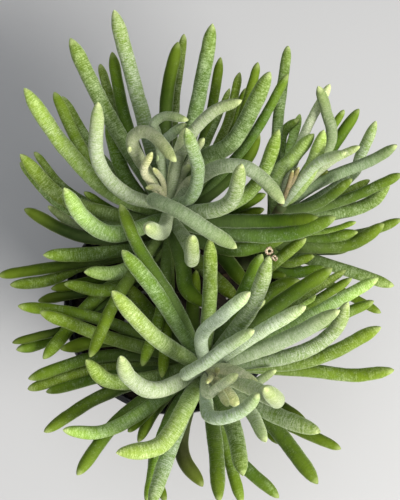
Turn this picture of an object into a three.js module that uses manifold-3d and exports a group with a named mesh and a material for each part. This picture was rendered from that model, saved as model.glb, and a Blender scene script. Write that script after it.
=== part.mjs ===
// A silver coral succulent: three leafy stems in the soil of a plain black nursery pot.
// Millimetres, +Z up. The origin is the middle of the pot's foot.

import * as THREE from "three";
import { mergeVertices } from "three/addons/utils/BufferGeometryUtils.js";
import Module from "manifold-3d";

// Driving dimensions of the pot and its soil

const RIM_RADIUS = 55;
const RIM_HEIGHT = 92;
const RIM_BAND = 9;
const RIM_STEP = 1.6;
const FOOT_RADIUS = 40;
const WALL = 1.2;
const POT_SIDES = 36;
const DRAIN_RADIUS = 4;
const DRAIN_RING = 25;
const DRAIN_COUNT = 6;
const DRAIN_SIDES = 12;
const SOIL_DEPTH = 12;
const SOIL_RISE = 3;
const SOIL_SHOULDER_AT = 0.6;
const SOIL_SHOULDER_RISE = 2;
const CLEARANCE = 0.35;

// Driving dimensions of the stems and leaves

const STEM_FOOT_HEIGHT = 50;
const STEM_FOOT_RADIUS = 5.5;
const STEM_TOP_RADIUS = 2.4;
const STEM_SIDES = 8;
const LEAF_SIDES = 6;
const SLIM_LEAF_SIDES = 5;
const SLIM_LEAF_GIRTH = 6.65;
const LEAF_BASE_SHARE = 0.72;
const LEAF_FULL_AT = 0.4;
const LEAF_TAPER = 0.1;
const LEAF_TIP_LENGTH = 1.5;
const LEAF_TIP_POINT = 0.57;
const LEAF_TIP_EARLIEST = 0.4;
const LEAF_EVEN_BANDS = 3;
const LEAF_TIP_STEPS = [0, 0.65];
const LEAF_TIP_RISE = 6;

// The leaves were measured by eye from one spot above the plant. Each leaf point is given as it is
// seen from that spot on the sight plane, which passes through the middle of the rim, square to the
// line of sight: across to the right, up the plane, and then the point's true height above the rim.

const SIGHT_TILT = THREE.MathUtils.degToRad(76);
const EYE_DISTANCE = 403;
const EYE_ACROSS = 13;
const EYE_UP = 26;

const rimCentre = new THREE.Vector3(0, 0, RIM_HEIGHT);
const sightRight = new THREE.Vector3(1, 0, 0);
const sightUp = new THREE.Vector3(0, Math.sin(SIGHT_TILT), Math.cos(SIGHT_TILT));
const sightBack = new THREE.Vector3(0, -Math.cos(SIGHT_TILT), Math.sin(SIGHT_TILT));
const eye = onSightPlane(EYE_ACROSS, EYE_UP).addScaledVector(sightBack, EYE_DISTANCE);

// A leaf's row is the height above the rim at which it leaves its stem, its girth, and then its
// seen points from the stem out to the tip. Every tip turns up a little further, by LEAF_TIP_RISE.

const BACK_LEFT_LEAVES = [
  // The curled young leaves of the heart
  [48, 5.6, [-20, 77, 68], [-17, 85, 76], [-9, 82, 80], [1, 70, 78]],
  [48, 4.2, [-8, 81, 69], [-10, 89, 76], [-4, 93, 80], [7, 91, 79]],
  [49, 4.4, [-5, 77, 62], [-1, 84, 68], [6, 89, 72]],
  [49, 3.8, [0, 70, 64], [6, 87, 80]],
  [47, 3.6, [-12, 60, 59], [-15, 66, 67], [-11, 75, 71]],
  [49, 2.8, [-8, 57, 58], [-14, 57, 62]],
  [50, 2.6, [-6, 61, 60], [-10.5, 67, 66]],
  [48, 4.4, [-5, 65, 56], [-8, 74, 60]],
  [47, 2.8, [-19, 71, 60], [-22.5, 77.5, 66]],
  [47, 3.6, [8, 71, 60], [15, 82, 70]],
  [50, 3.6, [4, 64, 60], [8, 68, 67]],
  [48, 4.2, [6, 59, 57], [11, 62, 64]],
  // Silver leaves round the heart
  [49, 5.2, [4, 76, 72], [18, 94, 84], [34, 101, 82]],
  [49, 5.9, [8, 52, 62], [12, 66, 77], [6, 87, 90]],
  [47, 6.5, [-24, 54, 60], [-38, 71, 70], [-38, 100, 80]],
  [46, 6.3, [17, 65, 64], [33, 68, 72], [45, 61, 71], [55, 49, 63]],
  [46, 7.0, [12, 45, 60], [28, 50, 72], [34, 69, 84]],
  [48, 6.4, [-10, 51, 68], [3, 45, 76], [17, 36, 74], [31.5, 27, 62]],
  [42, 6.6, [-6, 35, 62], [-14, 38, 82]],
  [40, 6.1, [7, 29, 56], [9, 21, 68], [9, 33, 84]],
  // Long pale leaves
  [42, 7.1, [-18, 102, 60], [-30, 146, 76]],
  [40, 7.2, [-31, 90, 56], [-52, 132, 70]],
  [38, 7.5, [-32, 55, 48], [-55, 78, 57], [-75, 107, 64]],
  [40, 6.9, [7.5, 81, 54], [14.4, 113, 66], [19.3, 139.3, 75]],
  [40, 7.6, [12, 69, 54], [30, 81, 62], [48, 115, 74]],
  [38, 6.4, [26, 48, 52], [43, 61.5, 58], [52.5, 86.5, 66]],
  [38, 7.6, [-28, 34, 50], [-44, 41, 54], [-55, 57, 62]],
  [34, 7.0, [26, 34.5, 44], [56, 34, 49], [81, 42.5, 54]],
  [36, 6.4, [26, 40.5, 48], [52, 40.5, 50], [73, 42, 52]],
  // Greener leaves behind and below them
  [34, 6.5, [-4, 96, 52], [2, 130, 62]],
  [30, 5.9, [-23, 87, 44], [-31, 125, 54]],
  [28, 7.2, [-24, 62, 34], [-33, 92, 36]],
  [28, 7.2, [31, 66, 38], [43, 84, 40]],
  [30, 5.8, [-40, 68, 38], [-60, 105, 44]],
  [26, 4.6, [-37, 73, 30], [-56, 103, 33]],
  [26, 4.8, [-26, 85, 38], [-37, 119, 42]],
  [26, 4.7, [0, 95, 42], [5, 134, 50]],
  [28, 5.0, [16.2, 86, 44], [23.3, 122.5, 54]],
  [24, 4.6, [24, 83, 38], [33, 115, 44]],
  [34, 3.2, [15, 76, 48], [28, 107, 54]],
  [18, 4.0, [23, 76, 32], [36, 107, 36]],
  [28, 4.8, [28, 80, 46], [37, 102, 52], [42, 120, 56]],
  [26, 4.8, [35, 77, 46], [57, 114, 58]],
  [32, 6.8, [-32, 44, 40], [-57, 53, 43], [-77, 74, 48]],
  [26, 5.2, [-32, 41, 32], [-56, 48, 34], [-77, 70, 36]],
  [20, 4.1, [-49, 53, 26], [-70, 75, 28]],
  [22, 6.3, [-44, 32.5, 25], [-75, 46.5, 28]],
  [14, 5.0, [-38, 32, 17], [-63, 48, 18]],
  [24, 4.2, [-29, 45, 30], [-45, 55, 34]],
  [34, 7.2, [4, 20, 44], [6.5, 6.5, 43], [17, -2.5, 38]],
  [26, 7.2, [26, 27, 35], [43, 28.5, 36], [58, 35, 38]],
  [26, 6.2, [22, 44, 34], [46, 54, 38]],
  [24, 6.2, [24, 40, 29], [45, 46.5, 30]],
  [26, 7.4, [20, 27, 29], [38, 6, 27]],
  [22, 7.4, [16, 16, 23], [32, 1, 22]],
  // Low leaves that spread over the left side of the rim
  [18, 7.2, [-37, 24.5, 20], [-65.5, 23.5, 22]],
  [10, 5.8, [-49, 19.3, 12], [-88, 13.2, 14]],
  [4, 6.2, [-41, 20, 7], [-62, 11, 7], [-82, 8.5, 8]],
  [22, 7.0, [-24, 16, 32], [-45, 15, 36]],
  [12, 6.2, [-29, 7, 18], [-55, 9, 19]],
  [2, 5.8, [-34, 8.5, 6], [-68, 0.5, 6]],
  [6, 4.4, [-38, -7, 10], [-81, -20.5, 10]],
  [0, 6.2, [-38, -4, 5], [-64, -19.5, 5], [-79, -24, 5]],
  [3, 6.8, [-37, 3.5, 9], [-65.5, -28.5, 9]],
  [30, 5.8, [-27, 4.5, 40], [-42, -27.5, 38]],
  [28, 5.6, [-6, -2, 37], [-16, -32, 34]],
  [24, 5.4, [-3, -4, 32], [-6, -38, 32]],
  // Old leaves at the foot of the stem, under the rest
  [12, 5.6, [-1, 80, 18], [1, 106, 22]],
  [4, 5.6, [-36, 12, 8], [-61.5, 6.5, 8]],
  [10, 5.2, [16, 52, 14], [30, 62, 16]],
];

const FRONT_LEAVES = [
  // The curled young leaves of the heart
  [40, 5.5, [6, -36, 60], [16, -30, 70], [27, -22, 74], [40, -14, 76]],
  [40, 4.0, [16, -46, 57], [23, -42, 64], [32, -36, 70]],
  [40, 3.4, [22, -43, 54], [27, -52, 62]],
  [41, 2.6, [20, -36, 54], [22, -33, 60]],
  [41, 2.4, [21, -40, 54], [25, -39, 60]],
  [42, 2.6, [19, -36, 58], [16.5, -40.5, 63]],
  [38, 6.0, [30, -35, 52], [43, -43, 54]],
  [36, 6.2, [25, -44, 50], [32, -52, 52]],
  // Silver leaves round the heart
  [40, 5.6, [16, -49, 56], [18, -57, 64], [27, -57.5, 70], [36, -53, 74], [42.5, -45.5, 76]],
  [40, 5.9, [14, -17, 58], [24, -7, 68], [38, 5, 74]],
  [40, 5.9, [43, -15, 60], [66, -2, 68]],
  [38, 6.8, [53, -20, 56], [83, -4, 62]],
  [38, 7.1, [-8, -44, 54], [-22, -38, 60], [-27, -27, 64]],
  [36, 6.8, [35, -41, 56], [51, -49, 70], [45, -43, 84]],
  [36, 5.6, [36, -52, 52], [46, -70, 60]],
  [36, 7.4, [46, -54, 52], [73, -65, 60]],
  // Long pale leaves
  [40, 7.2, [-9, -18, 58], [-31, 5.5, 66]],
  [36, 6.9, [-7, 2, 56], [-26, 26, 62]],
  [34, 6.0, [0.5, -2, 52], [-17, 26, 58], [-27, 49, 64]],
  [36, 6.4, [18, 6, 54], [18, 32, 60]],
  [36, 7.2, [38, -4, 54], [48, 23, 64]],
  [34, 6.6, [57.5, -27, 48], [79, -15.5, 50], [87, 0, 54]],
  [30, 6.4, [66, -29.5, 40], [103.5, -12.5, 44]],
  [24, 6.3, [66, -34.2, 31], [90, -36.6, 33], [110, -34, 35]],
  [36, 7.8, [6, -52, 48], [-7, -71.5, 50], [-29, -75.5, 50]],
  [32, 6.7, [-0.3, -69, 44], [-12, -103, 48]],
  [28, 6.8, [20.5, -69, 38], [22.5, -100, 42]],
  [34, 7.4, [29, -61, 48], [34.5, -87, 54]],
  [32, 7.0, [46, -58, 42], [72, -91, 48]],
  // Greener leaves behind and below them
  [28, 6.9, [48, -4, 40], [79, 17, 46]],
  [13, 6.0, [34, 4, 20], [53, 22, 25], [66, 32, 28]],
  [22, 7.2, [-10, -38, 27], [-32, -39.5, 32], [-44, -29, 38]],
  [28, 6.2, [-17, -55.5, 36], [-37, -65, 36], [-55.5, -64, 38]],
  [16, 6.0, [-35, -46.5, 22], [-65, -65, 22]],
  [20, 6.3, [-25.5, -57, 28], [-48.5, -86.5, 28]],
  [24, 5.6, [-5.5, -66, 32], [-13.4, -101, 32]],
  [16, 5.2, [-9.5, -76, 22], [-4.5, -100, 22]],
  [12, 7.0, [3.5, -71, 18], [14.4, -92.3, 16]],
  [18, 5.4, [25, -70, 26], [34, -101, 26]],
  [30, 4.2, [33, -43, 42], [51, -34, 44]],
  [20, 5.4, [49.5, -57, 26], [83.5, -73.5, 28]],
  [26, 4.0, [38, -54, 34], [52, -71, 36]],
  [14, 6.2, [25.5, -70, 20], [52.5, -98, 20]],
  [12, 4.7, [-7, -49, 20], [-23, -65, 20]],
  [6, 5.6, [-8, -52, 12], [-18, -70, 12]],
  [22, 5.9, [58, -12, 32], [102, 12, 34]],
  [18, 4.2, [53, -5, 25], [86, 16, 27]],
  [12, 4.8, [55, -9, 19], [89, 12, 20]],
  [14, 4.4, [62, -2, 22], [71, 3.5, 22]],
  [20, 6.4, [47, 4, 28], [63, 11, 30]],
  [24, 6.8, [33, 1, 40], [44, 24, 48]],
  [20, 6.2, [9.5, -10, 28], [11, 16, 29]],
  [18, 7.4, [-9, -9, 24], [-24.5, 9.5, 26]],
  [34, 5.5, [36, -6, 46], [45.5, 1, 48]],
  [12, 5.5, [58, -17, 20], [100, 0.5, 20]],
  // Low leaves that spread over the left side of the rim
  [14, 5.8, [-39, -8, 17], [-78, -2, 20]],
  [20, 6.2, [-29, -19, 24], [-67, -5, 29]],
  [13, 6.8, [-27, -19, 16], [-57, -23.5, 17]],
  [8, 6.0, [-35, -27, 12], [-73, -38.5, 13]],
  [2, 5.8, [-35, -32.5, 6], [-73, -43.5, 6]],
  [0, 5.4, [-30, -36, 5], [-64, -45, 5]],
  // Old leaves at the foot of the stem, under the rest
  [6, 5.6, [44, -46, 9], [66, -60, 10]],
  [4, 5.6, [24, -56, 7], [31, -76, 8]],
  [2, 5.6, [19, -60, 6], [22, -82, 6]],
  [2, 5.6, [-4, -62, 5], [-8, -84, 6]],
];

const BACK_RIGHT_LEAVES = [
  // Two dry bracts beside the heart
  [36, 2.2, [56.5, 56, 47], [59.5, 66, 50]],
  [36, 2.6, [58.5, 59, 46], [62.5, 67.5, 49]],
  // Silver leaves round the heart
  [36, 4.8, [70, 68, 54], [86, 75, 62]],
  [36, 4.2, [75, 68, 48], [93, 78, 52]],
  [36, 5.0, [71.5, 49, 44], [89, 61.5, 48]],
  [34, 6.9, [67, 64, 48], [75, 86, 58]],
  [34, 5.6, [72, 59.5, 42], [98, 70.5, 47], [111.5, 78.5, 50]],
  [30, 5.2, [85, 51, 38], [114, 64, 42]],
  // Long pale leaves
  [32, 6.7, [51, 62, 42], [60, 73, 48], [70, 84, 54]],
  [32, 4.5, [64, 81, 48], [78, 109, 56]],
  [32, 5.3, [77, 77, 54], [76, 96, 62], [72, 108, 66]],
  [26, 5.3, [52, 91, 46], [57, 128, 50]],
  // Greener leaves behind and below them
  [28, 4.6, [57, 73, 38], [63, 94, 42]],
  [24, 4.6, [53, 73, 38], [55, 85, 42], [62.5, 91.5, 44]],
  [26, 3.6, [72, 76, 42], [85, 96, 48]],
  [24, 5.9, [75, 72, 36], [92.5, 96.5, 42]],
  [22, 5.5, [86, 61, 33], [93.5, 74, 36], [101, 90.5, 38]],
  [24, 4.1, [78, 51, 32], [98, 61, 34]],
  [26, 6.7, [78, 44, 32], [97, 49, 32], [108, 60, 34]],
  [10, 6.9, [65, 28, 15], [88, 29, 17], [105, 39, 20]],
  [16, 2.8, [73, 35, 26], [91, 40, 30]],
  [12, 5.2, [78, 32, 18], [97, 35, 18], [114, 41.5, 18]],
  [12, 5.6, [72, 32, 18], [92, 35, 18]],
  // Low leaves that spread over the right side of the rim
  [6, 6.1, [73, 20, 10], [110, 8, 10]],
  [12, 5.0, [55, 20, 16], [70, 23, 16]],
  [6, 4.8, [56, 9, 9], [75, -3, 9]],
  [6, 4.4, [45, 16, 10], [56, 13, 10]],
  [10, 5.6, [54, 15, 12], [76, 17, 13]],
  [2, 4.6, [73, 11, 6], [103.5, -5.5, 6]],
  // Old leaves at the foot of the stem, under the rest
  [30, 4.6, [64, 60, 38], [77, 65.5, 40]],
  [4, 5.4, [76, 48, 7], [92, 56, 9]],
  [4, 5.6, [76, 26, 7], [90, 28, 7]],
];

// Each stem rises from its foot in the soil, at x and y, to a growing point that is given as seen.

const STEMS = [
  { name: "stem_back_left", foot: [-3, 15], top: [-3, 51, 52], leaves: BACK_LEFT_LEAVES },
  { name: "stem_front", foot: [9, -17], top: [16, -34, 44], leaves: FRONT_LEAVES },
  { name: "stem_back_right", foot: [27, 14], top: [54, 48, 40], leaves: BACK_RIGHT_LEAVES },
];

const POT_FINISH = { color: 0x17181c, roughness: 0.45, metalness: 0 };
const SOIL_FINISH = { color: 0x3b2a1d, roughness: 1, metalness: 0 };
const LEAF_FINISH = { color: 0x9db56a, roughness: 0.75, metalness: 0 };

const wasm = await Module();
wasm.setup();

// Seen points

function onSightPlane(across, up) {
  return rimCentre.clone().addScaledVector(sightRight, across).addScaledVector(sightUp, up);
}

function fromSeen([across, up, height]) {
  const seen = onSightPlane(across, up);
  const reach = (RIM_HEIGHT + height - eye.z) / (seen.z - eye.z);
  return eye.clone().lerp(seen, reach);
}

// Closed tubes: a ring of corners round each centre, drawn together at the first centre and at the end

function tube(centres, tangents, radii, sides, end) {
  const corners = [centres[0]];
  const triangles = [];
  const alongX = Math.abs(tangents[0].x) > 0.5;
  let side = new THREE.Vector3(alongX ? 0 : 1, alongX ? 1 : 0, 0);
  for (let ring = 0; ring < centres.length; ring += 1) {
    side = side.clone().addScaledVector(tangents[ring], -side.dot(tangents[ring])).normalize();
    const across = tangents[ring].clone().cross(side);
    for (let step = 0; step < sides; step += 1) {
      const turn = (2 * Math.PI * step) / sides;
      const corner = centres[ring].clone();
      corner.addScaledVector(side, radii[ring] * Math.cos(turn));
      corner.addScaledVector(across, radii[ring] * Math.sin(turn));
      corners.push(corner);
    }
  }
  const last = corners.length;
  corners.push(end);
  for (let step = 0; step < sides; step += 1) {
    const next = (step + 1) % sides;
    triangles.push([0, 1 + next, 1 + step]);
    for (let ring = 1; ring < centres.length; ring += 1) {
      const below = 1 + (ring - 1) * sides;
      const above = below + sides;
      triangles.push([below + step, below + next, above + next]);
      triangles.push([below + step, above + next, above + step]);
    }
    triangles.push([last - sides + step, last - sides + next, last]);
  }
  return solid(corners.flatMap((corner) => corner.toArray()), triangles.flat());
}

function solid(positions, indices) {
  return new wasm.Manifold(
    new wasm.Mesh({
      numProp: 3,
      vertProperties: new Float32Array(positions),
      triVerts: new Uint32Array(indices),
    }),
  );
}

function solidFrom(geometry) {
  const bare = geometry.clone();
  bare.deleteAttribute("normal");
  bare.deleteAttribute("uv");
  const merged = mergeVertices(bare);
  return solid(merged.getAttribute("position").array, merged.getIndex().array);
}

function lathe(profile) {
  const points = profile.map(([radius, height]) => new THREE.Vector2(radius, height));
  return solidFrom(new THREE.LatheGeometry(points, POT_SIDES).rotateX(Math.PI / 2));
}

// The pot: a thin tapered wall under a wider rim band, with holes in its floor

function makePot() {
  const bandFoot = RIM_HEIGHT - RIM_BAND;
  const shoulder = RIM_RADIUS - RIM_STEP;
  let pot = lathe([
    [0, 0],
    [FOOT_RADIUS, 0],
    [shoulder, bandFoot],
    [RIM_RADIUS, bandFoot],
    [RIM_RADIUS, RIM_HEIGHT],
    [RIM_RADIUS - WALL, RIM_HEIGHT],
    [RIM_RADIUS - WALL, bandFoot + WALL],
    [shoulder - WALL, bandFoot + WALL],
    [FOOT_RADIUS - WALL, WALL],
    [0, WALL],
  ]);
  for (let hole = 0; hole < DRAIN_COUNT; hole += 1) {
    const turn = (2 * Math.PI * hole) / DRAIN_COUNT;
    const drill = new THREE.CylinderGeometry(DRAIN_RADIUS, DRAIN_RADIUS, 4 * WALL, DRAIN_SIDES);
    drill.rotateX(Math.PI / 2);
    drill.translate(DRAIN_RING * Math.cos(turn), DRAIN_RING * Math.sin(turn), 0);
    pot = pot.subtract(solidFrom(drill));
  }
  return pot;
}

// The soil: it fills the pot to a little below the rim, with a plain hole for each stem

function wallRadius(height) {
  const bandFoot = RIM_HEIGHT - RIM_BAND;
  const slope = (RIM_RADIUS - RIM_STEP - FOOT_RADIUS) / bandFoot;
  return FOOT_RADIUS + slope * height - WALL;
}

function makeSoil(stemAxes) {
  const top = RIM_HEIGHT - SOIL_DEPTH;
  const floor = WALL + CLEARANCE;
  let soil = lathe([
    [0, floor],
    [wallRadius(floor) - CLEARANCE, floor],
    [wallRadius(top) - CLEARANCE, top],
    [wallRadius(top) * SOIL_SHOULDER_AT, top + SOIL_SHOULDER_RISE],
    [0, top + SOIL_RISE],
  ]);
  for (const axis of stemAxes) {
    soil = soil.subtract(stemTube(axis, CLEARANCE));
  }
  return soil;
}

// A stem: a straight leaning stalk that narrows towards its growing point

function stemAxis({ foot, top }) {
  const start = new THREE.Vector3(foot[0], foot[1], STEM_FOOT_HEIGHT);
  return new THREE.LineCurve3(start, fromSeen(top));
}

function stemTube(axis, spare) {
  const tangent = axis.getTangent(0);
  const start = axis.v1.clone().addScaledVector(tangent, -spare);
  const radii = [STEM_FOOT_RADIUS + spare, STEM_TOP_RADIUS + spare];
  return tube([start, axis.v2], [tangent, tangent], radii, STEM_SIDES, axis.v2);
}

function seatOnStem(axis, height) {
  const share = (RIM_HEIGHT + height - axis.v1.z) / (axis.v2.z - axis.v1.z);
  return axis.v1.clone().lerp(axis.v2, share);
}

// A leaf: a round finger that swells from a narrow root and closes in a blunt tip

function leafRadius(share, fromTip, girth) {
  const rise = Math.sin((Math.PI / 2) * Math.min(share / LEAF_FULL_AT, 1));
  const swell = LEAF_BASE_SHARE + (1 - LEAF_BASE_SHARE) * rise;
  const taper = 1 - LEAF_TAPER * (Math.max(share - LEAF_FULL_AT, 0) / (1 - LEAF_FULL_AT)) ** 2;
  const intoTip = 1 - Math.min(fromTip / (LEAF_TIP_LENGTH * girth), 1);
  const closing = (1 - intoTip ** 2) ** LEAF_TIP_POINT;
  return (girth / 2) * swell * taper * closing;
}

function leafStations(length, girth, bands) {
  const tipLength = LEAF_TIP_LENGTH * girth;
  const straight = Math.max(1 - tipLength / length, LEAF_TIP_EARLIEST);
  const even = Array.from({ length: bands }, (_, band) => (straight * band) / bands);
  const closing = LEAF_TIP_STEPS.map((step) => straight + (1 - straight) * step);
  return [...even, ...closing];
}

function leafSpine(axis, seat, seenPoints) {
  const [tipAcross, tipUp, tipHeight] = seenPoints.at(-1);
  const tip = fromSeen([tipAcross, tipUp, tipHeight + LEAF_TIP_RISE]);
  const points = [seatOnStem(axis, seat), ...seenPoints.slice(0, -1).map(fromSeen), tip];
  return new THREE.CatmullRomCurve3(points, false, "catmullrom", 0.5);
}

function makeLeaf(axis, [seat, girth, ...seenPoints]) {
  const spine = leafSpine(axis, seat, seenPoints);
  const length = spine.getLength();
  const stations = leafStations(length, girth, LEAF_EVEN_BANDS + seenPoints.length - 1);
  const centres = stations.map((share) => spine.getPointAt(share));
  const tangents = stations.map((share) => spine.getTangentAt(share));
  const radii = stations.map((share) => leafRadius(share, length * (1 - share), girth));
  const sides = girth < SLIM_LEAF_GIRTH ? SLIM_LEAF_SIDES : LEAF_SIDES;
  return tube(centres, tangents, radii, sides, spine.getPoint(1));
}

function largestBody(fused) {
  const bodies = fused.decompose();
  return bodies.reduce((best, body) => (body.volume() > best.volume() ? body : best));
}

function makeStem(stem) {
  const axis = stemAxis(stem);
  let plant = stemTube(axis, 0);
  for (const row of stem.leaves) {
    plant = plant.add(makeLeaf(axis, row));
  }
  return largestBody(plant);
}

// The scene graph

function meshOf(name, body, finish) {
  const { vertProperties, triVerts } = body.getMesh();
  const geometry = new THREE.BufferGeometry();
  geometry.setAttribute("position", new THREE.BufferAttribute(vertProperties, 3));
  geometry.setIndex(new THREE.BufferAttribute(triVerts, 1));
  geometry.computeVertexNormals();
  const mesh = new THREE.Mesh(geometry, new THREE.MeshStandardMaterial(finish));
  mesh.name = name;
  return mesh;
}

const group = new THREE.Group();
group.add(meshOf("pot", makePot(), POT_FINISH));
group.add(meshOf("soil", makeSoil(STEMS.map(stemAxis)), SOIL_FINISH));
for (const stem of STEMS) {
  group.add(meshOf(stem.name, makeStem(stem), LEAF_FINISH));
}

export default group;
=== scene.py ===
"""The looks of a silver coral succulent: three leafy stems in the soil of a black nursery pot."""

import math
import random

import bmesh
import bpy
import numpy as np
from mathutils import Matrix, Vector


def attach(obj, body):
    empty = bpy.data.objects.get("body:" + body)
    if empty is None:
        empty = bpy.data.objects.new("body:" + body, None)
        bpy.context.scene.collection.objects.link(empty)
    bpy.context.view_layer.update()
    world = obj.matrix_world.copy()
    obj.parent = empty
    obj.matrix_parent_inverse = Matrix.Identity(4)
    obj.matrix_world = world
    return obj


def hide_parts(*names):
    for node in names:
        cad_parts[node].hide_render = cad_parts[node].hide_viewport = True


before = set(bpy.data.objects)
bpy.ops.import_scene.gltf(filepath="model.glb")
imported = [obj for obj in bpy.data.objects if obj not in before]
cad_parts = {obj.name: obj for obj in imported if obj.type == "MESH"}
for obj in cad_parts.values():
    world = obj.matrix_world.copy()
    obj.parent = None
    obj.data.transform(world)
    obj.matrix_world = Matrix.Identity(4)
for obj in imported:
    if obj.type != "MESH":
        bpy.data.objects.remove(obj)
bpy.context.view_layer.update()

# Driving dimensions of the pot and its soil, in metres

MM = 0.001
RIM_RADIUS = 55 * MM
RIM_HEIGHT = 92 * MM
RIM_BAND = 9 * MM
RIM_STEP = 1.6 * MM
FOOT_RADIUS = 40 * MM
WALL = 1.2 * MM
POT_SIDES = 144
LIP_ROUNDING = 0.45 * MM
DRAIN_RADIUS = 4 * MM
DRAIN_RING = 25 * MM
DRAIN_COUNT = 6
SOIL_DEPTH = 12 * MM
SOIL_RISE = 3 * MM
SOIL_SHOULDER_AT = 0.6
SOIL_SHOULDER_RISE = 2 * MM
CLEARANCE = 0.35 * MM
SOIL_SIDES = 96
SOIL_RINGS = 24
CLOD_SIZE = 9 * MM
CLOD_HEIGHT = 2.4 * MM
CRUMB_SIZE = 2.5 * MM
CRUMB_HEIGHT = 1.2 * MM
CHIP_COUNT = 260
CHIP_SIZE = 2.6 * MM
BEAD_COUNT = 70
BEAD_SIZE = 1.9 * MM
GRAIN_MARGIN = 2.5 * MM
HAIRSBREADTH = 1e-6

# Driving dimensions of the stems and leaves

STEM_FOOT_HEIGHT = 50 * MM
STEM_FOOT_RADIUS = 5.5 * MM
STEM_TOP_RADIUS = 2.4 * MM
STEM_SIDES = 20
STEM_RINGS = 60
KNOT_SIZE = 6 * MM
KNOT_HEIGHT = 1.2 * MM
LEAF_BASE_SHARE = 0.72
LEAF_FULL_AT = 0.4
LEAF_TAPER = 0.1
LEAF_TIP_LENGTH = 1.5
LEAF_TIP_POINT = 0.57
LEAF_TIP_RISE = 6
LEAF_SIDES = 16
TIP_RINGS = 11
FELTED_RINGS = 100
SMOOTH_RINGS = 36
SLENDERNESSES = (6.5, 8, 9.5, 11, 13, 15.5, 19)
NIB_RADIUS = 0.055
NIB_LENGTH = 0.012
WRINKLE_DEPTH = 0.16 * MM
SWELLING_SIZE = 7 * MM
SWELLING_DEPTH = 0.5 * MM

# The leaves were measured from one spot above the plant, where the camera stands. Each point
# is given in millimetres as it is seen from there on the sight plane, which passes through the middle
# of the rim, square to the line of sight: across to the right, up the plane, and then the point's
# true height above the rim.

SIGHT_TILT = math.radians(76)
EYE_DISTANCE = 403
EYE_ACROSS = 13
EYE_UP = 26
LENS_REACH = 806
PICTURE_HEIGHT = 500
SENSOR = 36

RIM_CENTRE = Vector((0, 0, RIM_HEIGHT))
SIGHT_RIGHT = Vector((1, 0, 0))
SIGHT_UP = Vector((0, math.sin(SIGHT_TILT), math.cos(SIGHT_TILT)))
SIGHT_BACK = Vector((0, -math.cos(SIGHT_TILT), math.sin(SIGHT_TILT)))

# A leaf's row is its coat, the height above the rim at which it leaves its stem, its girth, and then
# its seen points from the stem out to the tip, in millimetres.

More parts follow.
